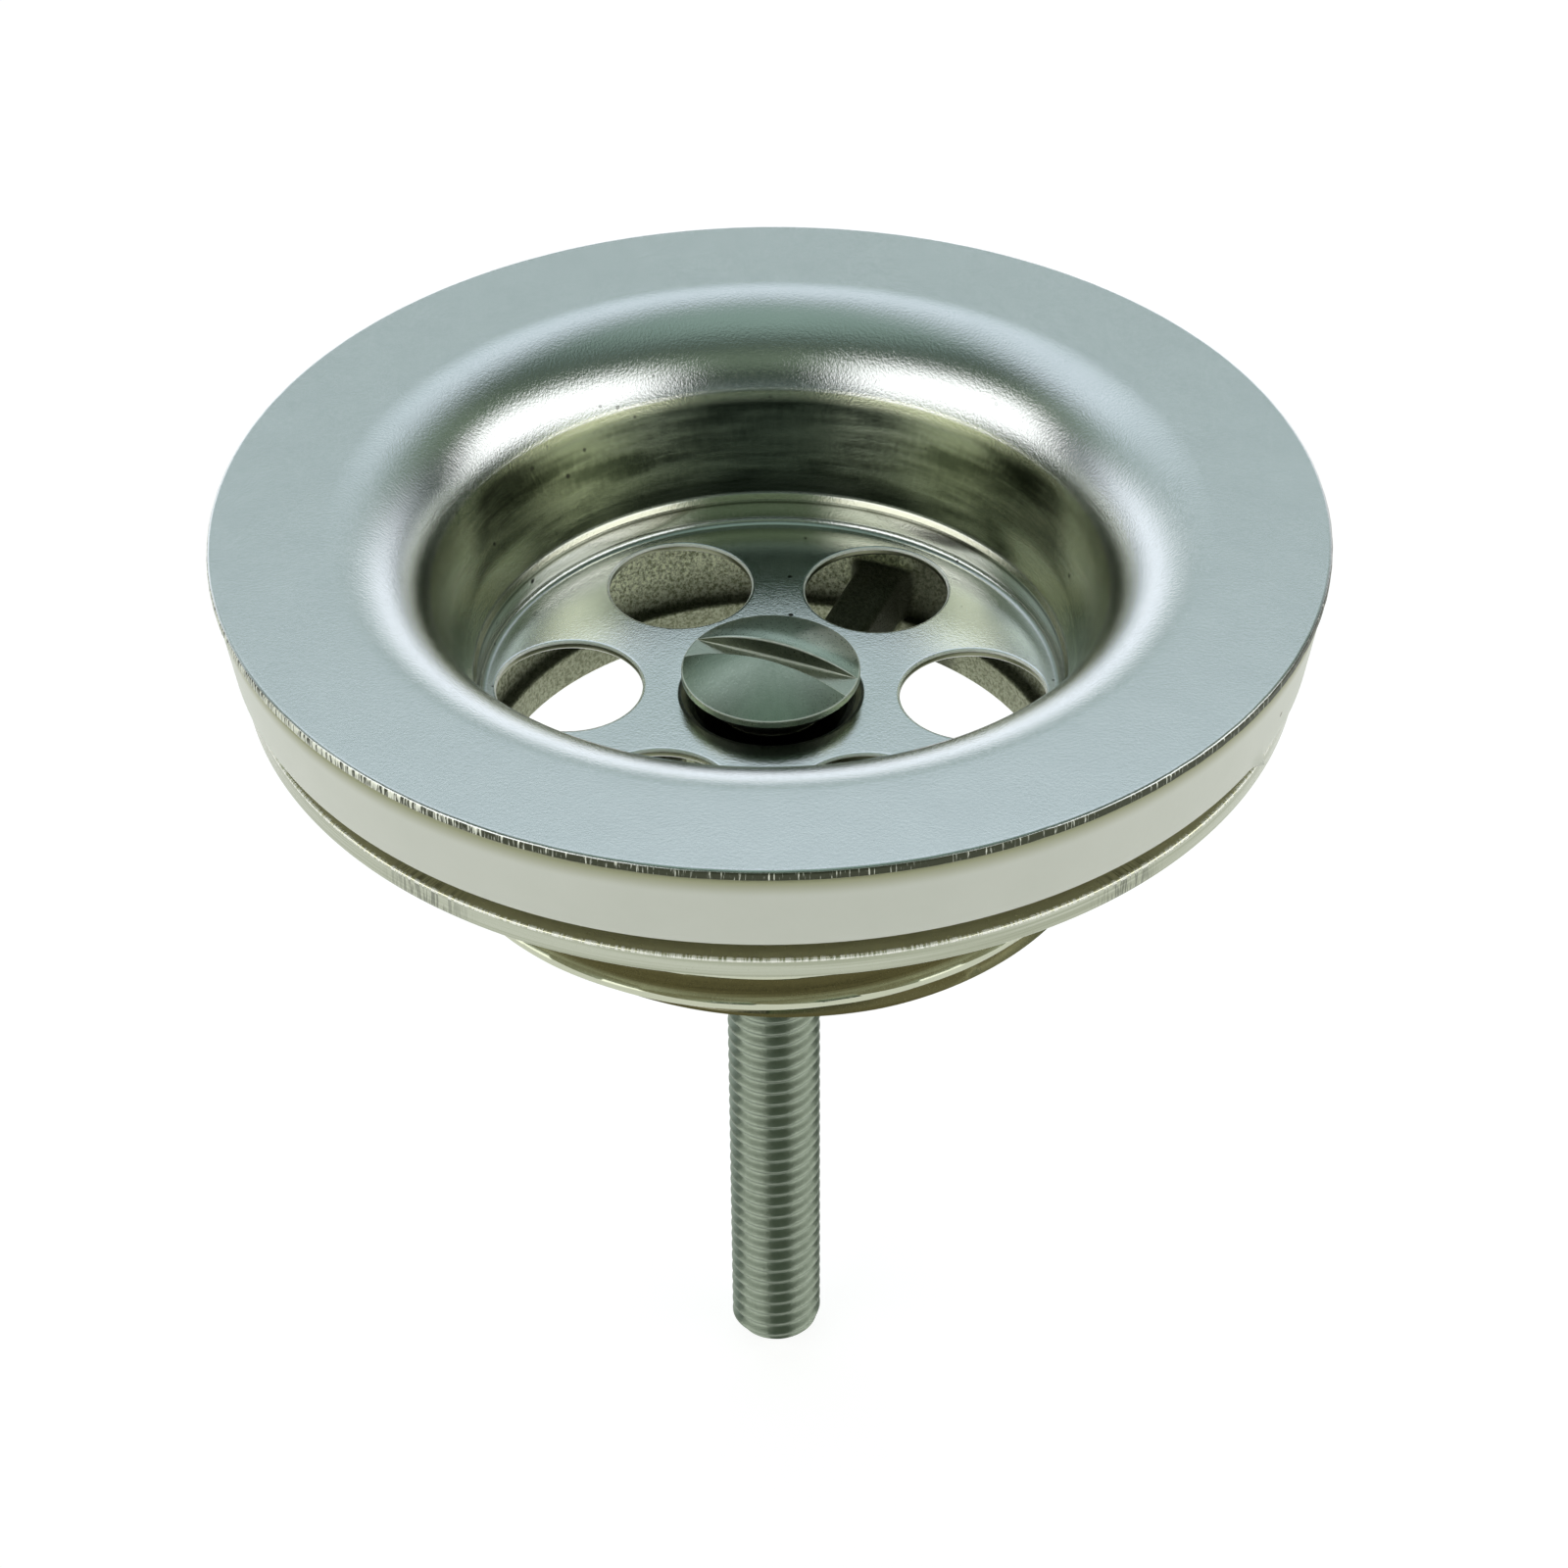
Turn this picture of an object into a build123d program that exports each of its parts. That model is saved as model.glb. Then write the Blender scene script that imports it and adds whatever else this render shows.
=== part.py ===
from build123d import *
import os
from math import cos, pi, radians, sin, tan

# Basin waste: a pressed strainer cup and a cast outlet body, drawn together by one long
# screw, with a sealing ring between them. Millimetres, +Z up, with the origin at the centre
# of the flange's underside, where the basin carries it.

# Strainer cup, pressed from one sheet
SHEET = 0.6              # thickness of the sheet
FLANGE_DIA = 65.0        # outside of the flange
FLANGE_LAND = 6.7        # flat of the flange, from its rim to the roll
RIM_ROUND = 0.25         # upper edge of the rim
ROLL_RADIUS = 6.2        # roll from the flange into the plug seat, upper face
SEAT_TAPER = 19.0        # wall of the plug seat to the axis, in degrees
CUP_DEPTH = 12.7         # top of the flange to top of the floor
FLOOR_FILLET = 1.9       # wall to floor, upper face
HOLE_COUNT = 6           # drain holes
HOLE_WEB = 3.3           # metal between neighbouring holes
HOLE_MARGIN = 0.5        # hole to the corner of wall and floor
HOLE_TURN = -2.8         # first hole from +X, in degrees
DIMPLE_DEPTH = 1.0       # dimple round the screw hole
DIMPLE_SLOPE = 45.0      # its side to the floor, in degrees
DIMPLE_LAND = 1.65       # its flat, round the screw hole
DIMPLE_LIP = 2.4         # rounding at its top, upper face
DIMPLE_FOOT = 0.8        # rounding at its foot, upper face
SCREW_HOLE_GAP = 0.3     # screw hole to screw, on the radius

# Clamping screw, raised countersunk with a slot
SCREW_DIA = 5.9          # over the thread
SCREW_LENGTH = 55.0      # upper edge of the head to the tip
HEAD_DIA = 10.7
HEAD_EDGE = 0.5          # straight edge of the head
HEAD_RAISE = 1.3         # dome above that edge
HEAD_ANGLE = 90.0        # countersink, in degrees
SLOT_WIDTH = 1.8
SLOT_DEPTH = 1.3         # below the top of the dome
SLOT_TURN = -23.0        # slot from +X, in degrees
TIP_CHAMFER = 0.9
SEAT_GAP = 0.05          # head to the edge of the screw hole

# Sealing ring
SEAL_THICKNESS = 5.25
SEAL_INSET = 0.05        # its top edge inside the flange's rim
SEAL_DRAFT = 0.8         # its bottom edge inside its top edge
SEAL_BORE_GAP = 0.4      # its bore to the start of the roll
SEAL_ROUND = 0.3         # its edges

# Outlet body, one casting
RING_LIFT = 1.45         # free gap between clamping ring and seal
RING_INSET = 0.65        # rim of the clamping ring inside the seal's bottom edge
RING_THICKNESS = 1.3
RING_FILLET = 1.5        # underside of the ring to the hub
FUNNEL_GAP = 1.2         # funnel to the outside of the cup
FUNNEL_LIP = 0.6         # rounding at the funnel's mouth
HUB_WALL = 2.0           # funnel wall
NECK_DIA = 41.91         # over the outlet thread
NECK_WALL = 3.65         # neck to bore
NECK_TAIL = 1.65         # neck beyond the arms
LEAD_DEPTH = 0.65        # lead chamfer at the neck's end, on the radius
LEAD_LENGTH = 1.2        # and along the axis
LEDGE_WIDTH = 0.7        # ledge inside the neck
LEDGE_HEIGHT = 2.4       # ledge above the neck's end
ARM_COUNT = 3            # arms that carry the boss
ARM_WIDTH = 3.0
ARM_HEIGHT = 3.6         # below the top of the boss
ARM_RISE = 0.65          # arm at the wall, above the top of the boss
ARM_TURN = 66.5          # first arm from +X, in degrees
ARM_FILLET = 1.4         # arms to boss and wall
ARM_ROOT = 0.8           # arms sunk in the wall
BOSS_WALL = 2.3          # boss round the screw
BOSS_LENGTH = 7.0
BOSS_CLEARANCE = 0.2     # boss to dimple when the ring meets the seal
BOSS_CHAMFER = 0.5       # lower edge of the boss
THREAD_FIT = 0.05        # screw to boss, on the radius

# Levels and radii that follow from them
flange_r = FLANGE_DIA / 2
seat_slope = tan(radians(SEAT_TAPER))
roll_start_r = flange_r - FLANGE_LAND
mouth_r = roll_start_r - ROLL_RADIUS * tan(radians(90 - SEAT_TAPER) / 2)
floor_z = SHEET - CUP_DEPTH
floor_r = mouth_r - CUP_DEPTH * seat_slope
dimple_z = floor_z - DIMPLE_DEPTH
screw_r = SCREW_DIA / 2
screw_hole_r = screw_r + SCREW_HOLE_GAP
seal_top_r = flange_r - SEAL_INSET
seal_bottom_r = seal_top_r - SEAL_DRAFT
ring_top_z = -SEAL_THICKNESS - RING_LIFT
boss_top_z = dimple_z - SHEET - RING_LIFT - BOSS_CLEARANCE


def turned(section):
    """Turn a section, drawn as radius and height, about the vertical axis."""
    return revolve(Plane.XZ * section, Axis.Z)


def closed_face(*points):
    """Face inside a closed outline of straight lines."""
    return make_face(Polyline(*points, close=True))


def spokes(count, first):
    """Angles of a round pattern, in degrees."""
    return [first + step * 360 / count for step in range(count)]


def strainer_cup():
    """Flange, rolled mouth, plug seat and floor as one bent sheet, then pierced."""
    foot_r = screw_hole_r + DIMPLE_LAND
    lip_r = foot_r + DIMPLE_DEPTH / tan(radians(DIMPLE_SLOPE))
    upper_face = FilletPolyline(
        (flange_r, SHEET),
        (mouth_r, SHEET),
        (floor_r, floor_z),
        (lip_r, floor_z),
        (foot_r, dimple_z),
        (screw_hole_r, dimple_z),
        radius=[ROLL_RADIUS, FLOOR_FILLET, DIMPLE_LIP, DIMPLE_FOOT],
    )
    section = make_face(offset(upper_face, SHEET, side=Side.LEFT))
    rim = section.vertices().sort_by_distance((flange_r, SHEET))[0]
    cup = turned(fillet(rim, RIM_ROUND))

    half_step = pi / HOLE_COUNT
    circle_r = (floor_r - HOLE_MARGIN + HOLE_WEB / 2) / (1 + sin(half_step))
    hole_r = circle_r * sin(half_step) - HOLE_WEB / 2
    hole = Pos(circle_r, 0, floor_z) * Cylinder(hole_r, CUP_DEPTH)
    for angle in spokes(HOLE_COUNT, HOLE_TURN):
        cup -= Rot(0, 0, angle) * hole
    return cup


def clamp_screw():
    """Screw whose cone sits on the edge of the cup's screw hole, with a slot across its dome."""
    head_r = HEAD_DIA / 2
    cone_rise = 1 / tan(radians(HEAD_ANGLE / 2))
    edge_z = dimple_z + SEAT_GAP + (head_r - screw_hole_r) * cone_rise
    rim_z = edge_z + HEAD_EDGE
    dome_z = rim_z + HEAD_RAISE
    tip_z = rim_z - SCREW_LENGTH
    dome = TangentArc((0, dome_z), (head_r, rim_z), tangent=(1, 0))
    sides = Polyline(
        (head_r, rim_z),
        (head_r, edge_z),
        (screw_r, edge_z - (head_r - screw_r) * cone_rise),
        (screw_r, tip_z + TIP_CHAMFER),
        (screw_r - TIP_CHAMFER, tip_z),
        (0, tip_z),
        (0, dome_z),
    )
    slot = Pos(0, 0, dome_z - SLOT_DEPTH) * Rot(0, 0, SLOT_TURN) * Box(
        HEAD_DIA, SLOT_WIDTH, HEAD_RAISE + SLOT_DEPTH, align=(Align.CENTER, Align.CENTER, Align.MIN)
    )
    return turned(make_face([dome, sides])) - slot


def sealing_ring():
    """Ring under the flange, round the roll, drawn in towards its bottom edge."""
    bore_r = roll_start_r + SEAL_BORE_GAP
    section = closed_face(
        (bore_r, 0),
        (seal_top_r, 0),
        (seal_bottom_r, -SEAL_THICKNESS),
        (bore_r, -SEAL_THICKNESS),
    )
    return turned(fillet(section.vertices(), SEAL_ROUND))


def outlet_body():
    """Clamping ring, funnel and threaded neck as one casting, with arms and a boss inside."""
    ring_r = seal_bottom_r - RING_INSET
    ring_bottom_z = ring_top_z - RING_THICKNESS
    arm_top_z = boss_top_z + ARM_RISE
    arm_bottom_z = boss_top_z - ARM_HEIGHT
    neck_end_z = arm_bottom_z - NECK_TAIL
    ledge_z = neck_end_z + LEDGE_HEIGHT
    neck_r = NECK_DIA / 2
    bore_r = neck_r - NECK_WALL
    ledge_r = bore_r + LEDGE_WIDTH

    # The funnel runs beside the cup's outside, down to the underside of its floor
    funnel_foot_z = floor_z - SHEET
    funnel_side = mouth_r + SHEET / cos(radians(SEAT_TAPER)) + FUNNEL_GAP
    funnel_top_r = funnel_side - (SHEET - ring_top_z) * seat_slope
    funnel_foot_r = funnel_side - (SHEET - funnel_foot_z) * seat_slope

    ring = closed_face((0, ring_top_z), (ring_r, ring_top_z), (ring_r, ring_bottom_z), (0, ring_bottom_z))
    hub = closed_face(
        (0, ring_top_z),
        (funnel_top_r + HUB_WALL, ring_top_z),
        (funnel_foot_r + HUB_WALL, funnel_foot_z),
        (ledge_r + HUB_WALL, ledge_z),
        (0, ledge_z),
    )
    neck = closed_face(
        (0, ring_bottom_z),
        (neck_r, ring_bottom_z),
        (neck_r, neck_end_z + LEAD_LENGTH),
        (neck_r - LEAD_DEPTH, neck_end_z),
        (0, neck_end_z),
    )
    passage = closed_face(
        (0, ring_top_z),
        (funnel_top_r, ring_top_z),
        (funnel_foot_r, funnel_foot_z),
        (ledge_r, ledge_z),
        (bore_r, ledge_z),
        (bore_r, neck_end_z),
        (0, neck_end_z),
    )
    section = ring + hub + neck - passage
    hub_slope = (funnel_top_r - funnel_foot_r) / (ring_top_z - funnel_foot_z)
    hub_r = funnel_top_r + HUB_WALL - RING_THICKNESS * hub_slope
    corner = section.vertices().sort_by_distance((hub_r, ring_bottom_z))[0]
    section = fillet(corner, RING_FILLET)
    lip = section.vertices().sort_by_distance((funnel_top_r, ring_top_z))[0]
    shell = turned(fillet(lip, FUNNEL_LIP))

    # Arms and boss are what is left between rounded openings in a web across the neck
    boss_r = screw_r + THREAD_FIT + BOSS_WALL
    wall_slope = (funnel_foot_r - ledge_r) / (funnel_foot_z - ledge_z)
    wall_r = ledge_r + (arm_top_z - ledge_z) * wall_slope
    openings = Circle(wall_r) - Circle(boss_r)
    for angle in spokes(ARM_COUNT, ARM_TURN):
        openings -= Rot(0, 0, angle) * Rectangle(wall_r * 2, ARM_WIDTH, align=(Align.MIN, Align.CENTER))
    plan = Circle(wall_r + ARM_ROOT) - fillet(openings.vertices(), ARM_FILLET)
    web = extrude(Pos(0, 0, arm_bottom_z) * plan, arm_top_z - arm_bottom_z)
    dish = turned(
        closed_face(
            (0, boss_top_z),
            (boss_r, boss_top_z),
            (wall_r, arm_top_z),
            (wall_r, arm_top_z + ARM_RISE),
            (0, arm_top_z + ARM_RISE),
        )
    )
    boss = turned(
        closed_face(
            (0, boss_top_z),
            (boss_r, boss_top_z),
            (boss_r, boss_top_z - BOSS_LENGTH + BOSS_CHAMFER),
            (boss_r - BOSS_CHAMFER, boss_top_z - BOSS_LENGTH),
            (0, boss_top_z - BOSS_LENGTH),
        )
    )
    thread = Pos(0, 0, boss_top_z) * Cylinder(screw_r + THREAD_FIT, BOSS_LENGTH * 2)
    return shell + (web - dish) + boss - thread


os.makedirs("parts", exist_ok=True)
for make in (strainer_cup, sealing_ring, outlet_body, clamp_screw):
    export_step(make(), f"parts/{make.__name__}.step")
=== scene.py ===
from math import atan2, ceil, cos, hypot, pi, radians, sin, tan

import bmesh
import bpy
import numpy as np
from mathutils import Matrix, Vector


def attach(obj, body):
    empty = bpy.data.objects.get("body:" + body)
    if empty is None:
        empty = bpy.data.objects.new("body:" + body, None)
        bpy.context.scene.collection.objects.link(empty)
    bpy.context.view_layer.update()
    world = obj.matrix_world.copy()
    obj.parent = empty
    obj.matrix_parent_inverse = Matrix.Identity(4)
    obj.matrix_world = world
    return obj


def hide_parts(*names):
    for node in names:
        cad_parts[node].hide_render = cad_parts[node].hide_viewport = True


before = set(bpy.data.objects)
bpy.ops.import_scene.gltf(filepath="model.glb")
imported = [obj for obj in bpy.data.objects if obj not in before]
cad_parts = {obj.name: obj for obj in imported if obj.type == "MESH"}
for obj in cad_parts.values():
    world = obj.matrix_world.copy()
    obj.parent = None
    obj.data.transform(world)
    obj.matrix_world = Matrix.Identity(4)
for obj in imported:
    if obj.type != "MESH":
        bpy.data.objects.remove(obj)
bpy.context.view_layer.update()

# Basin waste: a pressed strainer cup, a sealing ring, a cast outlet body and the long screw
# that draws them together. Lengths below are millimetres in the CAD frame, whose origin is
# the centre of the flange's underside; a mesh gets metres.

MM = 0.001

# Strainer cup
SHEET = 0.6
FLANGE_R = 32.5
RIM_ROUND = 0.25
ROLL_START_R = 25.8
ROLL_RADIUS = 6.2
ROLL_STEP = 1.6          # degrees from row to row of the roll
ROLL_SWEEP = 69.4        # degrees that the roll's upper face turns through
UNDER_SWEEP = 71.0       # and its lower face
SEAT_TAPER = radians(19.0)
SEAT_TOP_Z = -4.1
SEAT_BACK_Z = -6.0       # where the seat's lower face begins
SEAT_FOOT_Z = -10.05     # where the seat ends above the floor
LEDGE_FOOT = (17.50, -10.36)   # lower end of the narrow ledge under the seat
FLOOR_Z = -12.1
FLOOR_R = 17.005
FLOOR_LINE_R = 17.2      # a floor line has one height at each radius inside this
DIMPLE_Z = -13.1
DIMPLE_FOOT_R = 4.55
DIMPLE_LIP_R = 5.45
DIMPLE_SHIFT = 0.25      # how far inwards the dimple's lower face lies
SCREW_HOLE_R = 3.25
HOLE_COUNT = 6
HOLE_TURN = radians(-2.8)
HOLE_CIRCLE_R = 12.103
HOLE_R = 4.402
HOLE_EDGE = 0.20         # rounding that the punch leaves
PANEL_INNER_R = 7.3      # pierced part of the floor
PANEL_OUTER_R = 16.85
PANEL_COUNTS = (56, 18, 28)    # columns on a panel's outer arc, side and inner arc

# Sealing ring
SEAL_BORE_R = 26.2
SEAL_MID_R = 29.0
SEAL_TOP_R = 32.45
SEAL_BOTTOM_R = 31.65
SEAL_BOTTOM_Z = -5.25
NUB_TURN = radians(-31.0)
NUB_WIDTH = radians(0.7)
NUB_SIZE = 0.55

# Outlet body
RING_R = 31.0
RING_MID_R = 26.0
RING_TOP_Z = -6.7
RING_BOTTOM_Z = -8.0
HUB_TOP_R = 22.25
HUB_FOOT_Z = -11.5
NECK_R = 20.955
NECK_ROOT_R = 19.48
NECK_PITCH = 2.309
NECK_START = 0.957       # turns by which the thread is shifted
NECK_TOP_Z = -11.76
NECK_END_Z = -20.6
LEAD_START_Z = -19.4
LEAD_R = 20.305
BORE_R = 17.305
LEDGE_R = 18.005
LEDGE_Z = -18.2
FUNNEL_TOP_R = 20.70
FUNNEL_FOOT_R = 18.63
FUNNEL_FOOT_Z = -12.7
ARM_COUNT = 3
ARM_TURN = radians(66.5)
ARM_HALF = 1.5
ARM_FILLET = 1.4
ARM_EDGE = 0.45
ARM_BOTTOM_Z = -18.95
ARM_TOP_Z = -14.70
ARM_COUNTS = (50, 24, 34)      # columns on an opening's outer arc, side and inner arc
ARM_INNER_R = 4.2        # inside the boss
WALL_R = 18.40
BOSS_R = 5.3
BOSS_BORE_R = 3.0
BOSS_TOP_Z = -15.35
BOSS_BOTTOM_Z = -22.35

# Clamping screw
SCREW_R = 2.95
SCREW_ROOT_R = 2.53
SCREW_PITCH = 1.0
SCREW_ROWS = 16          # rows to a pitch
THREAD_TOP_Z = -13.4
HEAD_R = 5.35
HEAD_EDGE_Z = -10.95
HEAD_RIM_Z = -10.45
HEAD_RAISE = 1.3
DOME_EDGE_R = HEAD_R - 0.11
DOME_R = (DOME_EDGE_R ** 2 + HEAD_RAISE ** 2) / (2 * HEAD_RAISE)
CONE_FOOT_Z = HEAD_EDGE_Z - HEAD_R + SCREW_R
SLOT_HALF = 0.9
SLOT_EDGE = 0.09
SLOT_TURN = radians(-23.0)
TIP_Z = -65.45
TIP_CHAMFER = 0.9


# Lines and surfaces

def bent_line(corners, radii):
    """Line through corners where each inner corner becomes a tangent arc of its radius.

    A corner that turns by an angle t has its arc start radius * tan(t / 2) before it.
    """
    corners = np.asarray(corners, float)
    runs = [corners[:1]]
    for before, corner, after, radius in zip(corners, corners[1:], corners[2:], radii):
        into = (corner - before) / hypot(*(corner - before))
        away = (after - corner) / hypot(*(after - corner))
        turn = atan2(into[0] * away[1] - into[1] * away[0], into @ away)
        start = corner - into * radius * tan(abs(turn) / 2)
        side = np.array([-into[1], into[0]]) * np.sign(turn)
        arm = -side * radius
        sweep = np.linspace(0, turn, max(2, ceil(abs(turn) / radians(5))) + 1)[:, None]
        across = np.array([-arm[1], arm[0]])
        runs.append(start + side * radius + arm * np.cos(sweep) + across * np.sin(sweep))
    return np.vstack(runs + [corners[-1:]])


def short_steps(line, longest):
    """The same line, with each run divided evenly into steps no longer than given."""
    spans = np.diff(line, axis=0)
    counts = np.maximum(1, np.ceil(np.linalg.norm(spans, axis=1) / longest - 1e-6)).astype(int)
    rank = np.arange(counts.sum()) - np.repeat(np.cumsum(counts) - counts, counts)
    step = np.repeat(spans / counts[:, None], counts, axis=0)
    return np.vstack([np.repeat(line[:-1], counts, axis=0) + step * rank[:, None], line[-1:]])


def full_turn(count):
    """Angles of evenly spaced columns all the way round."""
    return np.linspace(0, 2 * pi, count, endpoint=False)


def turned(radius, height, angles):
    """Surface of revolution: (r cos a, r sin a, z), where r and z may vary with the angle."""
    radius, height = radius + 0 * angles, height + 0 * angles
    return np.stack([radius * np.cos(angles), radius * np.sin(angles), height], -1)


def spun(points, angle):
    """Points turned about the vertical axis."""
    x, y = points[..., 0], points[..., 1]
    turned_xy = [x * cos(angle) - y * sin(angle), x * sin(angle) + y * cos(angle)]
    return np.stack(turned_xy + [points[..., 2]], -1)


def ripple(angles, waves, seed):
    """Uneven line round the axis, about -1 to 1: a sum of cosines of whole wave counts."""
    draw = np.random.default_rng(seed)
    waves = np.asarray(waves)
    phase = draw.uniform(0, 2 * pi, len(waves))
    weight = draw.uniform(0.4, 1.0, len(waves))
    total = np.cos(np.multiply.outer(angles, waves) + phase) @ weight
    return total / np.sqrt((weight ** 2).sum())


def thread_shape(turns, crest, root):
    """Height of a thread from 0 at its root to 1 at its crest, over a count of turns.

    One turn is a flat crest, a straight flank, a flat root and a flank, then eased.
    """
    part = np.abs((turns % 1.0) - 0.5) * 2
    rise = np.clip((part - root) / (1 - crest - root), 0, 1)
    return rise * rise * (3 - 2 * rise) * 0.5 + rise * 0.5


def sew(name, sheets):
    """One closed mesh from grids of points, smooth but for edges of more than 40 degrees.

    Each sheet is (points, wrap): rows by columns of points, the last column joined to the
    first where wrap is true. Points that meet are merged, and faces are turned outwards.
    """
    points, quads, first = [], [], 0
    for grid, wrap in sheets:
        rows, cols = grid.shape[:2]
        index = np.arange(rows * cols).reshape(rows, cols) + first
        if wrap:
            index = np.hstack([index, index[:, :1]])
        corners = (index[:-1, :-1], index[:-1, 1:], index[1:, 1:], index[1:, :-1])
        quads.append(np.stack(corners, -1).reshape(-1, 4))
        points.append(grid.reshape(-1, 3))
        first += rows * cols
    points, quads = np.vstack(points) * MM, np.vstack(quads)
    mesh = bpy.data.meshes.new(name)
    mesh.vertices.add(len(points))
    mesh.vertices.foreach_set("co", points.astype(np.float32).ravel())
    mesh.loops.add(quads.size)
    mesh.loops.foreach_set("vertex_index", quads.astype(np.int32).ravel())
    mesh.polygons.add(len(quads))
    mesh.polygons.foreach_set("loop_start", np.arange(0, quads.size, 4, dtype=np.int32))
    mesh.update(calc_edges=True)
    work = bmesh.new()
    work.from_mesh(mesh)
    bmesh.ops.remove_doubles(work, verts=work.verts, dist=2e-7)
    bmesh.ops.recalc_face_normals(work, faces=work.faces)
    work.to_mesh(mesh)
    work.free()
    mesh.shade_smooth()
    mesh.set_sharp_from_angle(angle=radians(40))
    piece = bpy.data.objects.new(name, mesh)
    bpy.context.scene.collection.objects.link(piece)
    return piece


def pierced_panel(opening, outward, border, upper, lower, edge):
    """Metal round one opening, as a closed ring of rows.

    The rows run from the border along the lower face to the opening, up its wall, over the
    rounded edge and back along the upper face to the border. A row on a face lies at a share
    of the way from the edge to the border; upper and lower give its height from its place.
    """
    def on_face(share, height, inset):
        """Rows on one face, each a share of the way from the edge to the border."""
        share = np.asarray(share)[:, None, None]
        flat = (opening + outward * inset) * (1 - share) + border * share
        return np.concatenate([flat, height(flat)[..., None]], -1)

    def round_edge(bend, height, inset, sign):
        """Rows over one edge, each a bend along a quarter circle of the inset."""
        bend = np.asarray(bend)[:, None]
        flat = opening + outward * (inset * (1 - np.sin(bend)))[..., None]
        level = height(flat) - sign * inset * (1 - np.cos(bend))
        return np.concatenate([flat, level[..., None]], -1)

    spread = np.linspace(0, 1, 9) ** 1.6
    bends = np.linspace(0, pi / 2, 6)
    return np.concatenate([
        on_face(spread[::-1], lower, edge),
        round_edge(bends, lower, edge, -1)[1:],
        round_edge(bends[::-1], upper, edge, 1),
        on_face(spread, upper, edge)[1:],
    ])


def sector_border(inner_r, outer_r, half, counts):
    """Outline of a ring's sector: outer arc, side, inner arc and side, without repeats."""
    outer, side, inner = counts
    arc = np.linspace(-half, half, outer + 1)[:-1]
    back = np.linspace(half, -half, inner + 1)[:-1]
    down = np.linspace(outer_r, inner_r, side + 1)[:-1]
    up = np.linspace(inner_r, outer_r, side + 1)[:-1]
    radius = np.concatenate([0 * arc + outer_r, down, 0 * back + inner_r, up])
    angle = np.concatenate([arc, 0 * down + half, back, 0 * up - half])
    return np.stack([radius * np.cos(angle), radius * np.sin(angle)], -1)


# Strainer cup

SEAT_SLOPE = tan(SEAT_TAPER)
MOUTH_R = FLOOR_R + (SHEET - FLOOR_Z) * SEAT_SLOPE
ROLL_CENTRE = np.array([ROLL_START_R, SHEET - ROLL_RADIUS])


def seat_r(z):
    """Radius of the plug seat at a height."""
    return MOUTH_R - (SHEET - z) * SEAT_SLOPE


def roll_arc(radius, start, end):
    """Arc of the roll, at tilts from the level, in degrees."""
    tilt = np.radians(np.linspace(start, end, ceil(abs(end - start) / ROLL_STEP) + 1))[:, None]
    return ROLL_CENTRE + radius * np.hstack([-np.sin(tilt), np.cos(tilt)])


def cup_upper_line():
    """Upper face from the screw hole to the rim, with the narrow ledge under the seat."""
    low = bent_line(
        [
            (SCREW_HOLE_R + 0.08, DIMPLE_Z),
            (DIMPLE_FOOT_R, DIMPLE_Z),
            (DIMPLE_LIP_R, FLOOR_Z),
            (LEDGE_FOOT[0] - 0.01, FLOOR_Z),
            LEDGE_FOOT,
            (seat_r(SEAT_FOOT_Z), SEAT_FOOT_Z),
            (seat_r(SEAT_TOP_Z), SEAT_TOP_Z),
        ],
        [0.5, 0.5, 0.5, 0.06, 0.08],
    )
    roll = roll_arc(ROLL_RADIUS, ROLL_SWEEP, 0)
    rim = bent_line([(FLANGE_R - 0.4, SHEET), (FLANGE_R, SHEET), (FLANGE_R, 0.05)], [RIM_ROUND])
    return np.vstack([low, roll, rim])


def cup_lower_line():
    """Lower face from the rim to the screw hole, one sheet below the upper face."""
    roll = roll_arc(ROLL_RADIUS - SHEET, 0, UNDER_SWEEP)
    floor_bend = bent_line(
        [
            (seat_r(SEAT_BACK_Z) + SHEET / cos(SEAT_TAPER), SEAT_BACK_Z),
            (FLOOR_R + SHEET * tan((pi / 2 - SEAT_TAPER) / 2), FLOOR_Z - SHEET),
            (DIMPLE_LIP_R - DIMPLE_SHIFT, FLOOR_Z - SHEET),
            (DIMPLE_FOOT_R - DIMPLE_SHIFT, DIMPLE_Z - SHEET),
            (SCREW_HOLE_R + 0.05, DIMPLE_Z - SHEET),
        ],
        [2.1, 1.8, 1.4],
    )
    return np.vstack([[(FLANGE_R - 0.05, 0.0)], roll, floor_bend])


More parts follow.
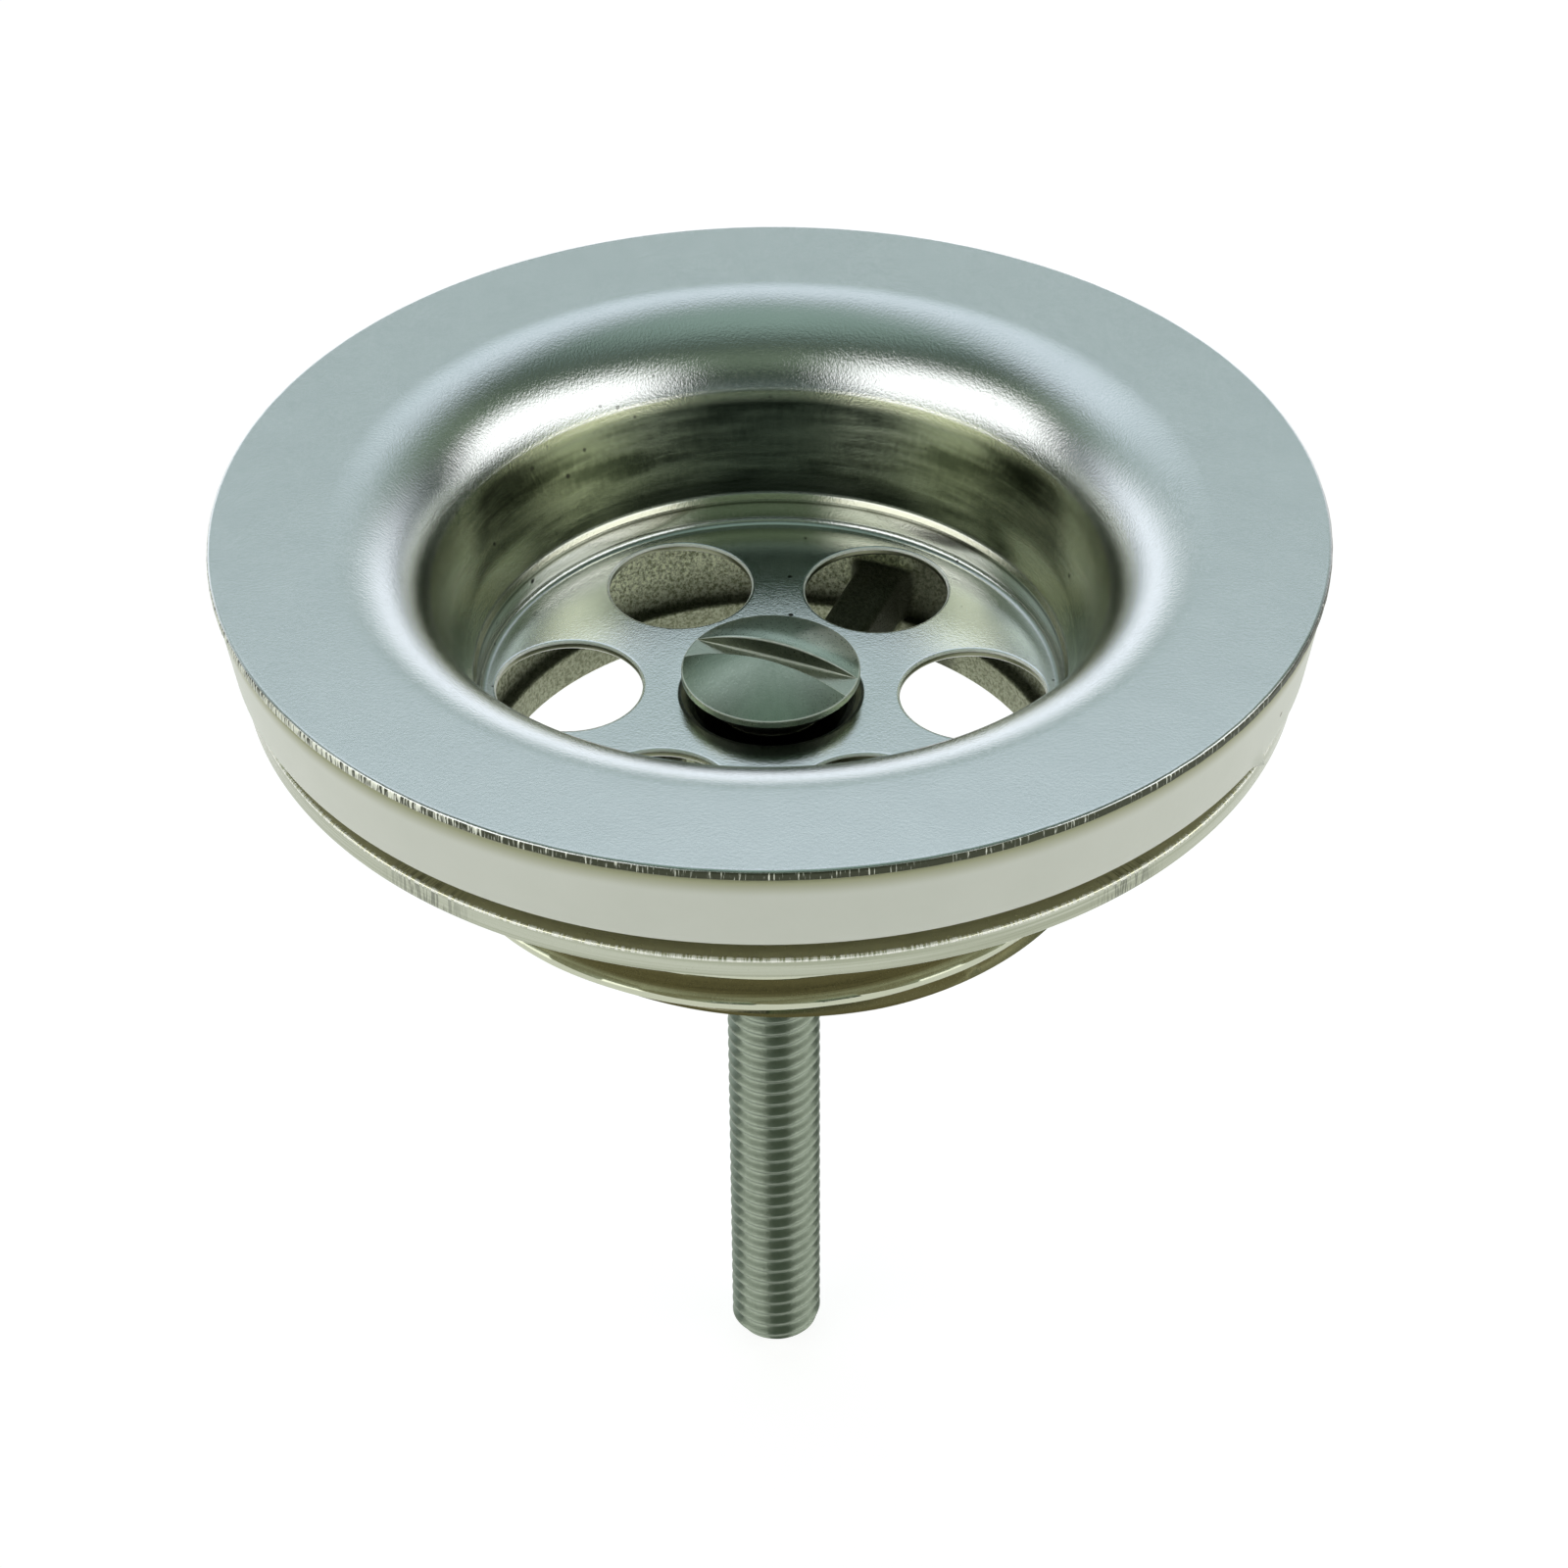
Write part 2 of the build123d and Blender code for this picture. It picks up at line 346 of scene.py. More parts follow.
def cup_sheets():
    """Cup as an outer turned part, six pierced panels of the floor and the turned dimple.

    The rim is uneven where it was sheared, and the flange dished a little, by ripples.
    """
    upper = short_steps(cup_upper_line(), 1.1)
    lower = short_steps(cup_lower_line(), 1.6)

    def floor_part(line):
        """Radii and heights of a line's floor, from the axis outwards."""
        floor = line[line[:, 0] < FLOOR_LINE_R]
        return floor[np.argsort(floor[:, 0])].T

    def split(line, radius):
        """Line outside and inside a radius, with a point on it."""
        cut = np.array([[radius, np.interp(radius, *floor_part(line))]])
        return line[line[:, 0] > radius + 0.02], line[line[:, 0] < radius - 0.02], cut

    def upper_z(flat):
        """Height of the upper face at a place, from its distance to the axis."""
        return np.interp(np.hypot(flat[..., 0], flat[..., 1]), *floor_part(upper))

    def lower_z(flat):
        """The same for the lower face."""
        return np.interp(np.hypot(flat[..., 0], flat[..., 1]), *floor_part(lower))

    half = pi / HOLE_COUNT
    border = sector_border(PANEL_INNER_R, PANEL_OUTER_R, half, PANEL_COUNTS)
    away = border - [HOLE_CIRCLE_R, 0]
    away /= np.linalg.norm(away, axis=1, keepdims=True)
    rim = away * HOLE_R + [HOLE_CIRCLE_R, 0]
    panel = pierced_panel(rim, away, border, upper_z, lower_z, HOLE_EDGE)
    turns = HOLE_TURN + np.arange(HOLE_COUNT) * 2 * half
    sheets = [(spun(panel, turn), True) for turn in turns]

    def angles(count):
        """Angles of the columns all the way round, a count of them to a panel."""
        return HOLE_TURN - half + np.arange(HOLE_COUNT * count) * 2 * half / count

    upper_out, _, upper_cut = split(upper, PANEL_OUTER_R)
    lower_out, _, lower_cut = split(lower, PANEL_OUTER_R)
    mantle = np.vstack([upper_cut, upper_out, lower_out, lower_cut])
    a = angles(PANEL_COUNTS[0])
    radius, height = mantle[:, :1] + 0 * a, mantle[:, 1:] + 0 * a
    on_edge = np.clip((radius - FLANGE_R + 0.35) / 0.35, 0, 1)
    shear = 0.018 * ripple(a, [23, 41, 67, 89, 113, 149], 3) * on_edge
    on_flange = np.clip((radius - 26) / 6.5, 0, 1)
    dish = 0.010 * (ripple(a, [2, 3, 5], 5) - 2.0) * on_flange
    sheets.append((turned(np.minimum(radius, FLANGE_R) - np.abs(shear), height + dish, a), True))

    _, upper_in, upper_cut = split(upper, PANEL_INNER_R)
    _, lower_in, lower_cut = split(lower, PANEL_INNER_R)
    hole_edge = np.array([
        (SCREW_HOLE_R + 0.02, DIMPLE_Z - 0.02),
        (SCREW_HOLE_R, DIMPLE_Z - 0.08),
        (SCREW_HOLE_R, DIMPLE_Z - SHEET + 0.05),
    ])
    dimple = np.vstack([upper_cut, upper_in[::-1], hole_edge, lower_in[::-1], lower_cut])
    sheets.append((turned(dimple[:, :1], dimple[:, 1:], angles(PANEL_COUNTS[2])), True))
    return sheets


# Sealing ring

def seal_sheets():
    """Turned ring with a drafted, slightly uneven side and one nub of moulding flash.

    The nub is a bell curve of the turn, strongest at the bottom edge.
    """
    section = bent_line(
        [
            (SEAL_MID_R, 0.0),
            (SEAL_TOP_R, 0.0),
            (SEAL_BOTTOM_R, SEAL_BOTTOM_Z),
            (SEAL_BORE_R, SEAL_BOTTOM_Z),
            (SEAL_BORE_R, 0.0),
            (SEAL_MID_R, 0.0),
        ],
        [0.3, 0.35, 0.3, 0.3],
    )
    section = short_steps(section, 0.45)[:-1]
    a = full_turn(360)
    radius, height = section[:, :1] + 0 * a, section[:, 1:] + 0 * a
    outside = np.clip((radius - SEAL_MID_R - 0.5) / 2.0, 0, 1)
    radius = radius - outside * 0.03 * (1 + ripple(a, [2, 3, 4, 7, 9], 11))
    low = np.clip((SEAL_BOTTOM_Z + 1.2 - height) / 1.2, 0, 1) * outside
    off = (a - NUB_TURN + pi) % (2 * pi) - pi
    radius = radius + NUB_SIZE * np.exp(-(off / NUB_WIDTH) ** 2) * low ** 2
    points = turned(radius, height, a)
    return [(np.concatenate([points, points[:1]]), True)]


# Outlet body

def shell_sheets():
    """Clamping ring, funnel and neck: one turned section with the pipe thread cut in its neck.

    The neck's radius follows a right hand helix: it depends on z / pitch less the turn.
    """
    ring_side = bent_line(
        [
            (RING_MID_R, RING_TOP_Z),
            (RING_R, RING_TOP_Z),
            (RING_R, RING_BOTTOM_Z),
            (HUB_TOP_R, RING_BOTTOM_Z),
            (NECK_R + 0.1, HUB_FOOT_Z),
        ],
        [0.12, 0.16, 1.5],
    )
    neck_z = np.linspace(NECK_TOP_Z, LEAD_START_Z, 70)
    neck = np.stack([np.full_like(neck_z, NECK_R), neck_z], -1)
    inside = bent_line(
        [
            (NECK_R, LEAD_START_Z),
            (LEAD_R, NECK_END_Z),
            (BORE_R, NECK_END_Z),
            (BORE_R, LEDGE_Z),
            (LEDGE_R, LEDGE_Z),
            (FUNNEL_FOOT_R, FUNNEL_FOOT_Z),
            (FUNNEL_TOP_R, RING_TOP_Z),
            (RING_MID_R, RING_TOP_Z),
        ],
        [0.15, 0.25, 0.2, 0.12, 0.5, 0.6],
    )
    inside = short_steps(inside, 0.75)
    section = np.vstack([short_steps(ring_side, 0.6), neck, inside[1:-1]])
    a = full_turn(280)
    radius, height = section[:, :1] + 0 * a, section[:, 1:] + 0 * a
    outer = (radius > NECK_ROOT_R + 0.12) & (height < NECK_TOP_Z + 0.06)
    form = thread_shape(height / NECK_PITCH - a / (2 * pi) + NECK_START, 0.18, 0.22)
    start = np.clip((NECK_TOP_Z - 0.14 - height) / 1.2, 0, 1)
    cut = (NECK_R - NECK_ROOT_R) * (1 - form) * start
    radius = np.where(outer, np.minimum(radius, NECK_R - cut), radius)
    points = turned(radius, height, a)
    return [(np.concatenate([points, points[:1]]), True)]


def opening_outline():
    """One opening between two arms: wall arc, arm side, boss arc and arm side, with round corners.

    A corner's arc has its centre one fillet radius from the arm and from the wall or boss. The
    second half mirrors the first. Gives the outline's points and the directions into the metal.
    """
    lift = ARM_HALF + ARM_FILLET
    wall_reach, boss_reach = WALL_R - ARM_FILLET, BOSS_R + ARM_FILLET
    wall_turn, boss_turn = np.arcsin(lift / wall_reach), np.arcsin(lift / boss_reach)
    half = pi / ARM_COUNT
    top, low = half - wall_turn, half - boss_turn

    def arc(centre_r, centre_a, radius, start, end, count):
        """Arc about a centre at a radius and a turn, without its end, and its directions out."""
        sweep = np.linspace(start, end, count + 1)[:-1]
        out = np.stack([np.cos(sweep), np.sin(sweep)], -1)
        return centre_r * np.array([cos(centre_a), sin(centre_a)]) + radius * out, out

    def mirrored(run, end):
        """Run from its second point to the start of the next one, mirrored and turned round."""
        return np.vstack([run, end])[1:][::-1] * [1, -1]

    wall, wall_n = arc(0, 0, WALL_R, -top, top, 40)
    corner, corner_n = arc(wall_reach, top, ARM_FILLET, top, half + pi / 2, 10)
    side_r = np.linspace(wall_reach * cos(wall_turn), boss_reach * cos(boss_turn), 15)[:-1]
    along, across = np.array([cos(half), sin(half)]), np.array([-sin(half), cos(half)])
    side = side_r[:, None] * along - ARM_HALF * across
    side_n = np.repeat(across[None], len(side), 0)
    foot, foot_n = arc(boss_reach, low, ARM_FILLET, half + pi / 2, low + pi, 10)
    boss, boss_n = arc(0, 0, BOSS_R, low, -low, 24)
    points = [wall, corner, side, foot, boss]
    points += [mirrored(foot, boss[0]), mirrored(side, foot[0]), mirrored(corner, side[0])]
    normals = [wall_n, corner_n, side_n, foot_n, -boss_n]
    normals += [mirrored(foot_n, -boss_n[0]), mirrored(side_n, foot_n[0]), mirrored(corner_n, side_n[0])]
    return np.vstack(points), np.vstack(normals)


def arm_sheets():
    """Arms as what is left between three round-cornered openings, with a sloped top."""
    opening, outward = opening_outline()
    half = pi / ARM_COUNT
    outer_r = WALL_R + 0.5
    border = np.roll(sector_border(ARM_INNER_R, outer_r, half, ARM_COUNTS), -5, axis=0)

    def upper(flat):
        """Top of an arm: it rises evenly from the boss to the wall."""
        share = (np.hypot(flat[..., 0], flat[..., 1]) - BOSS_R) / (WALL_R - BOSS_R)
        return BOSS_TOP_Z - 0.05 + (ARM_TOP_Z - BOSS_TOP_Z) * np.clip(share, 0, 1.1)

    def lower(flat):
        """Level underside of an arm."""
        return np.full(flat.shape[:-1], ARM_BOTTOM_Z)

    panel = pierced_panel(opening, outward, border, upper, lower, ARM_EDGE)
    turns = ARM_TURN + half + np.arange(ARM_COUNT) * 2 * half
    sheets = [(spun(panel, turn), True) for turn in turns]
    for radius, count in ((ARM_INNER_R, ARM_COUNTS[2]), (outer_r, ARM_COUNTS[0])):
        a = turns[0] - half + np.arange(ARM_COUNT * count) * 2 * half / count
        top = upper(np.array([[radius, 0.0]]))
        height = np.array([top, [ARM_BOTTOM_Z]])
        sheets.append((turned(np.full((2, 1), radius), height, a), True))
    return sheets


def boss_sheets():
    """Turned boss round the screw."""
    seam = (BOSS_BORE_R, BOSS_BOTTOM_Z + 0.4)
    section = bent_line(
        [
            seam,
            (BOSS_BORE_R, BOSS_TOP_Z),
            (BOSS_R, BOSS_TOP_Z),
            (BOSS_R, BOSS_BOTTOM_Z),
            (BOSS_BORE_R, BOSS_BOTTOM_Z),
            seam,
        ],
        [0.25, 0.35, 0.5, 0.3],
    )
    section = short_steps(section, 0.8)
    return [(turned(section[:, :1], section[:, 1:], full_turn(120)), True)]


# Clamping screw

def dome_rise(x, y):
    """Height of the head's dome over its rim: a sphere's height at a place on the head."""
    return np.sqrt(np.maximum(DOME_R ** 2 - x ** 2 - y ** 2, 0)) - DOME_R + HEAD_RAISE


def screw_sheets():
    """Raised head with a slot, countersunk cone and threaded shank.

    The head's top is a grid across the slot: a row lies at a distance t from its middle and
    runs over the chord of that distance, and its height is the dome's, or the slot's floor.
    The shank's radius follows a right hand helix, as the neck's does.
    """
    across = DOME_EDGE_R * np.sin(np.linspace(-pi / 2, pi / 2, 49))
    across = across[np.abs(np.abs(across) - SLOT_HALF) > 0.12]
    lips = [SLOT_HALF + SLOT_EDGE, -SLOT_HALF - SLOT_EDGE]
    outer = np.sort(np.concatenate([across[np.abs(across) > SLOT_HALF], lips]))
    left, right = outer[outer < 0], outer[outer > 0]
    wall = np.array([0.94, 0.84, 0.16, 0.09, 0.0])     # rows down the slot's wall, as shares of the dome
    at_wall = np.full_like(wall, SLOT_HALF)
    floor = np.array([-0.82, -0.45, 0.0, 0.45, 0.82])
    place = np.concatenate([left, -at_wall, floor, at_wall, right])
    share = np.concatenate([np.ones_like(left), wall, 0 * floor, wall[::-1], np.ones_like(right)])
    run = np.sin(np.linspace(-pi / 2, pi / 2, 41))
    chord = np.sqrt(np.maximum(DOME_EDGE_R ** 2 - place ** 2, 0))
    x, y = chord[:, None] * run, place[:, None] + 0 * run
    rise = np.maximum(dome_rise(x, y), 0) * share[:, None]
    top = np.stack([x, y, HEAD_RIM_Z + rise], -1)

    steps = np.unique(np.round(place, 9))
    quarter = np.arcsin(np.clip(steps / DOME_EDGE_R, -1, 1))
    a = np.concatenate([quarter, (pi - quarter)[1:-1][::-1]])
    head = np.array([
        (DOME_EDGE_R, HEAD_RIM_Z),
        (HEAD_R - 0.04, HEAD_RIM_Z - 0.03),
        (HEAD_R, HEAD_RIM_Z - 0.11),
        (HEAD_R, HEAD_EDGE_Z + 0.06),
        (HEAD_R - 0.06, HEAD_EDGE_Z),
        (HEAD_R - 1.15, HEAD_EDGE_Z - 1.15),
        (SCREW_R + 0.12, CONE_FOOT_Z + 0.12),
    ])
    shank_z = np.arange(CONE_FOOT_Z, TIP_Z + 1e-6, -SCREW_PITCH / SCREW_ROWS)[:, None]
    form = thread_shape(shank_z / SCREW_PITCH - a / (2 * pi), 0.05, 0.07)
    fade = np.clip((THREAD_TOP_Z - shank_z) / 1.0, 0, 1)
    shank_r = SCREW_R - (SCREW_R - SCREW_ROOT_R) * (1 - form) * fade
    shank_r = np.minimum(shank_r, SCREW_R - TIP_CHAMFER + (shank_z - TIP_Z))
    end_r = np.array([[1.95], [1.2], [0.0]])
    end_z = np.full_like(end_r, TIP_Z)
    radius = np.vstack([head[:, :1] + 0 * a, shank_r, end_r + 0 * a])
    height = np.vstack([head[:, 1:] + 0 * a, shank_z + 0 * a, end_z + 0 * a])
    side = turned(radius, height, a)
    return [(spun(top, SLOT_TURN), False), (spun(side, SLOT_TURN), True)]


# Materials

NUMBER, VECTOR = "NodeSocketFloat", "NodeSocketVector"


def opaque(colour):
    """Colour with full alpha, or another node's output as it is."""
    return colour if isinstance(colour, bpy.types.NodeSocket) else (*colour, 1.0)


class Wiring:
    """Places and joins the nodes of one material, sky or node group."""

    def __init__(self, tree):
        self.tree = tree

    def add(self, kind, inputs=None, **settings):
        """New node; an input is a plain value or another node's output."""
        node = self.tree.nodes.new(kind)
        for key, value in settings.items():
            setattr(node, key, value)
        for key, value in (inputs or {}).items():
            if isinstance(value, bpy.types.NodeSocket):
                self.tree.links.new(value, node.inputs[key])
            else:
                node.inputs[key].default_value = value
        return node

    def feed(self, socket, value):
        """Joins a node's output to a socket."""
        self.tree.links.new(value, socket)

    def sums(self, operation, *values):
        """One operation of arithmetic."""
        return self.add("ShaderNodeMath", dict(enumerate(values)), operation=operation).outputs[0]

    def times(self, first, *others):
        """Product of values."""
        for other in others:
            first = self.sums("MULTIPLY", first, other)
        return first

    def total(self, first, *others):
        """Sum of values."""
        for other in others:
            first = self.sums("ADD", first, other)
        return first

    def between(self, value, low, high, to_low=0.0, to_high=1.0):
        """Value eased from to_low to to_high as it goes from low to high."""
        given = {0: value, 1: low, 2: high, 3: to_low, 4: to_high}
        return self.add("ShaderNodeMapRange", given, interpolation_type="SMOOTHSTEP").outputs[0]

    def zone(self, value, low, high, ease):
        """Mask that is 1 between two values and eases to 0 outside them."""
        rise = self.between(value, low - ease, low + ease)
        return self.times(rise, self.between(value, high + ease, high - ease))

    def tint(self, share, first, second):
        """Colour that goes from the first to the second with the share."""
        given = {0: share, 6: opaque(first), 7: opaque(second)}
        return self.add("ShaderNodeMix", given, data_type="RGBA").outputs[2]

    def layers(self, tone, *coats):
        """Colour with coats laid over it in turn, each a share and a colour."""
        for share, colour in coats:
            tone = self.tint(share, tone, colour)
        return tone

    def noise(self, place, scale, detail=2.0, rough=0.5):
        """Soft noise from 0 to 1 on a place, with scale in waves to a millimetre."""
        given = {"Vector": place, "Scale": scale, "Detail": detail, "Roughness": rough}
        return self.add("ShaderNodeTexNoise", given).outputs[0]

    def split(self, vector):
        """X, y and z of a vector."""
        return self.add("ShaderNodeSeparateXYZ", {0: vector}).outputs

    def join(self, x, y, z=0.0):
        """Vector from x, y and z."""
        return self.add("ShaderNodeCombineXYZ", {0: x, 1: y, 2: z}).outputs[0]

    def mark(self, name):
        """Number that the piece's points carry under a name."""
        return self.add("ShaderNodeAttribute", attribute_name=name).outputs["Fac"]

    def bump(self, height, strength, depth, **under):
        """Normal from a height, depth in millimetres, on top of another Normal if given."""
        given = {"Height": height, "Strength": strength, "Distance": depth * MM, **under}
        return self.add("ShaderNodeBump", given).outputs[0]


def new_group(name, inputs, outputs):
    """Empty node group with named inputs (name, kind, default) and outputs (name, kind)."""
    tree = bpy.data.node_groups.new(name, "ShaderNodeTree")
    for label, kind, value in inputs:
        socket = tree.interface.new_socket(label, in_out="INPUT", socket_type=kind)
        if value is not None:
            socket.default_value = value
    for label, kind in outputs:
        tree.interface.new_socket(label, in_out="OUTPUT", socket_type=kind)
    wires = Wiring(tree)
    return tree, wires, wires.add("NodeGroupInput").outputs, wires.add("NodeGroupOutput").inputs


def lathe_place_group():
    """Place on a turned piece: millimetres from the axis, up it, and as a vector."""
    tree, wires, _, out = new_group(
        "lathe_place", [], [("Radius", NUMBER), ("Height", NUMBER), ("Place", VECTOR)]
    )
    metres = wires.add("ShaderNodeTexCoord").outputs["Object"]
    place = wires.add("ShaderNodeVectorMath", {0: metres, "Scale": 1 / MM}, operation="SCALE").outputs[0]
    x, y, z = wires.split(place)
    square = wires.total(wires.times(x, x), wires.times(y, y))
    wires.feed(out["Radius"], wires.sums("SQRT", square))
    wires.feed(out["Height"], z)
    wires.feed(out["Place"], place)
    return tree


def drawn_marks_group():
    """Marks that run round the axis: noise on a place squeezed along height and radius."""
    tree, wires, given, out = new_group(
        "drawn_marks",
        [("Place", VECTOR, None), ("Radius", NUMBER, 0.0), ("Along", NUMBER, 0.15), ("Across", NUMBER, 6.0)],
        [("Height", NUMBER)],
    )
    x, y, z = wires.split(given["Place"])
    squeezed = wires.join(
        wires.times(x, given["Along"]),
        wires.times(y, given["Along"]),
        wires.times(wires.total(z, given["Radius"]), given["Across"]),
    )
    wires.feed(out["Height"], wires.noise(squeezed, 1.0))
    return tree


def specks_group():
    """Small round specks: Voronoi cells whose random value is under the density."""
    tree, wires, given, out = new_group(
        "specks",
        [("Place", VECTOR, None), ("Cells", NUMBER, 1.0), ("Density", NUMBER, 0.1), ("Size", NUMBER, 0.1)],
        [("Mask", NUMBER)],
    )
    cells = wires.add("ShaderNodeTexVoronoi", {"Vector": given["Place"], "Scale": given["Cells"]})
    chance = wires.add("ShaderNodeSeparateColor", {0: cells.outputs["Color"]}).outputs[0]
    chosen = wires.sums("LESS_THAN", chance, given["Density"])
    grown = wires.times(wires.sums("DIVIDE", chance, given["Density"]), given["Size"])
    near = wires.sums("LESS_THAN", cells.outputs["Distance"], grown)
    wires.feed(out["Mask"], wires.times(chosen, near))
    return tree


lathe_place = lathe_place_group()
drawn_marks = drawn_marks_group()
specks = specks_group()


def new_material(name):
    """Material with one Principled shader; gives its wiring, place outputs and shader's sockets."""
    material = bpy.data.materials.new(name)
    material.use_nodes = True
    wires = Wiring(material.node_tree)
    shader = next(n for n in material.node_tree.nodes if n.type == "BSDF_PRINCIPLED")
    place = wires.add("ShaderNodeGroup", node_tree=lathe_place).outputs
    return material, wires, place, shader.inputs


def streaks(wires, place, along, across, level=0.0):
    """Marks round the axis; level adds the radius for a flat face."""
    return wires.add("ShaderNodeGroup", {
        "Place": place["Place"], "Radius": level, "Along": along, "Across": across,
    }, node_tree=drawn_marks).outputs["Height"]


def spots(wires, place, cells, density, size):
    """Specks, with cells to a millimetre, the share of them that has one, and its size."""
    return wires.add("ShaderNodeGroup", {
        "Place": place["Place"], "Cells": cells, "Density": density, "Size": size,
    }, node_tree=specks).outputs["Mask"]


def turn_of(wires, place):
    """Angle round the axis, from x towards y."""
    x, y, _ = wires.split(place["Place"])
    return wires.sums("ARCTAN2", y, x)


def round_marks(wires, place, count, up):
    """Marks that stand across the way round: noise on the turn and, stretched, the height."""
    spread = wires.join(wires.times(turn_of(wires, place), count), wires.times(place["Height"], up))
    return wires.noise(spread, 1.0, 3.0, 0.6)


def pressed_steel():
    """Satin sheet with fine grain all over.

    The seat has dark draw marks round it. Painted reflections lighten it towards the sides, on its
    flanks and just under the crease, painted shade darkens its foot in the middle, and a painted
    highlight runs along the crease. The floor has a painted dark reflection at its edge, a polished
    middle, a few pits and painted shade in the dimple under the head. The corner above it is a
    painted bright band of reflected light, with painted shade in a groove and a darker olive ledge.
    Cut edges are torn at the rim, with more bright tears on the left by painted light, and painted
    highlights line the holes' top edges.
    """
    material, wires, place, sockets = new_material("pressed_steel")
    radius, height = place["Radius"], place["Height"]
    beside = wires.sums("ABSOLUTE", wires.split(place["Place"])[0])
    # Share from the middle towards the sides, along which the seat and the corner get painted reflections.
    aside = wires.between(beside, 6.0, 15.0)
    grain = wires.noise(place["Place"], 6.0, 3.0, 0.7)
    clouds = wires.noise(place["Place"], 0.35)
    sheared = wires.mark("sheared")
    painted_highlight = wires.mark("painted_highlight")

    flange = wires.between(radius, 22.5, 26.5)
    rolled = wires.times(wires.between(height, -5.0, -3.5), wires.between(radius, 26.5, 23.5))
    # Painted highlight: a thin bright line along the crease under the roll.
    crease = wires.times(wires.zone(height, -3.72, -3.58, 0.05), 0.6)
    seat = wires.zone(height, -9.95, -3.75, 0.1)
    corner = wires.times(wires.between(radius, 16.7, 17.1), wires.zone(height, -11.7, -10.05, 0.15))
    # Painted shade: a dark line in the corner's groove.
    groove = wires.times(corner, wires.zone(height, -10.66, -10.50, 0.05))
    low = wires.between(height, -11.2, -11.8)
    floor = wires.times(wires.zone(radius, 5.6, 15.6, 0.8), low)
    polish = wires.times(wires.between(radius, 8.4, 7.2), low)
    # Painted reflection: a dark ring at the floor's edge, where the dark wall is mirrored.
    dark_ring_reflection = wires.times(wires.zone(radius, 16.4, 17.3, 0.35), wires.between(height, -11.75, -11.95), 0.55)
    dimple = wires.times(wires.between(radius, 5.75, 5.4), wires.between(height, -12.1, -12.25))
    pits = wires.times(spots(wires, place, 0.95, 0.20, 0.18), wires.between(radius, 22.0, 18.0))

    waves = streaks(wires, place, 0.13, 0.62)
    hairs = streaks(wires, place, 3.2, 0.10)
    fine = streaks(wires, place, 0.22, 2.3)
    marks = wires.total(wires.times(waves, 0.62), wires.times(hairs, 0.12), wires.times(fine, 0.26))

    wires.feed(sockets["Roughness"], wires.total(
        0.15,
        wires.times(flange, 0.08),
        wires.times(floor, -0.02),
        wires.times(polish, -0.085),
        wires.times(seat, wires.between(marks, 0.35, 0.65, -0.03, 0.07)),
        wires.between(grain, 0.3, 0.7, -0.025, 0.04),
        wires.times(wires.sums("MAXIMUM", sheared, painted_highlight), 0.2),
    ))
    # Less metallic on the dimple's upper slope, as part of its painted shade, and at the painted highlights.
    slope = wires.times(dimple, wires.between(height, -12.75, -12.45, 0.0, 0.6))
    dull = wires.sums("MAXIMUM", slope, wires.times(painted_highlight, 0.9))
    wires.feed(sockets["Metallic"], wires.sums("SUBTRACT", 1.0, dull))

    # Painted reflections: the seat's tone runs from dark in its middle to light towards the sides, and the
    # draw marks swap between the two.
    light = wires.tint(aside, (0.17, 0.195, 0.145), (0.31, 0.335, 0.24))
    dark = wires.tint(aside, (0.04, 0.05, 0.035), (0.08, 0.092, 0.06))
    # Painted reflection: lighter flanks low on the seat's sides.
    flank = wires.times(wires.between(beside, 13.9, 15.9), wires.between(height, -7.7, -8.7))
    flank = wires.sums("MAXIMUM", flank, wires.between(beside, 17.0, 18.5))
    # Painted shade: a dark foot low in the seat's middle.
    foot = wires.times(wires.between(height, -8.2, -9.5), wires.between(aside, 0.9, 0.1, 0.0, 0.75))
    drawn = wires.layers(
        wires.tint(wires.between(marks, 0.36, 0.63), dark, light),
        # Painted reflection: a light strip just under the crease.
        (wires.between(height, -4.6, -3.9), (0.52, 0.54, 0.40)),
        (wires.times(flank, 0.8), (0.84, 0.90, 0.68)),
        (foot, (0.018, 0.024, 0.018)),
    )
    # Painted reflected light: the corner over the floor is a bright band, whiter towards the sides and
    # darker olive higher up on the ledge.
    upright = wires.tint(aside, (0.58, 0.60, 0.48), (0.97, 0.97, 0.91))
    ledge = wires.tint(wires.between(height, -10.95, -10.6), upright, (0.50, 0.51, 0.41))
    # Painted shade under the screw head: olive on the dimple's upper slope, near black deeper down.
    deep = wires.between(height, -12.35, -12.75)
    dimple_shade = wires.tint(deep, (0.62, 0.60, 0.42), (0.07, 0.075, 0.06))
    # Torn shear marks on the rim, with painted light: more bright tears towards the left.
    left = wires.between(wires.split(place["Place"])[0], -8.0, -26.0, 0.0, 0.16)
    torn = wires.between(wires.total(round_marks(wires, place, 230.0, 0.7), left), 0.56, 0.70)
    rim = wires.tint(torn, (0.055, 0.06, 0.04), (0.66, 0.68, 0.58))
    cut = wires.tint(wires.between(radius, 29.0, 30.0), (0.24, 0.255, 0.17), rim)
    wires.feed(sockets["Base Color"], wires.layers(
        wires.tint(clouds, (0.61, 0.635, 0.64), (0.66, 0.68, 0.685)),
        (seat, drawn),
        (dark_ring_reflection, (0.17, 0.19, 0.15)),
        (corner, ledge),
        (groove, (0.20, 0.21, 0.15)),
        (dimple, dimple_shade),
        (crease, (0.86, 0.86, 0.78)),
        (pits, (0.03, 0.03, 0.025)),
        (sheared, cut),
        # Painted highlights round the holes' top edges: white and less metallic.
        (painted_highlight, (0.97, 0.97, 0.94)),
    ))

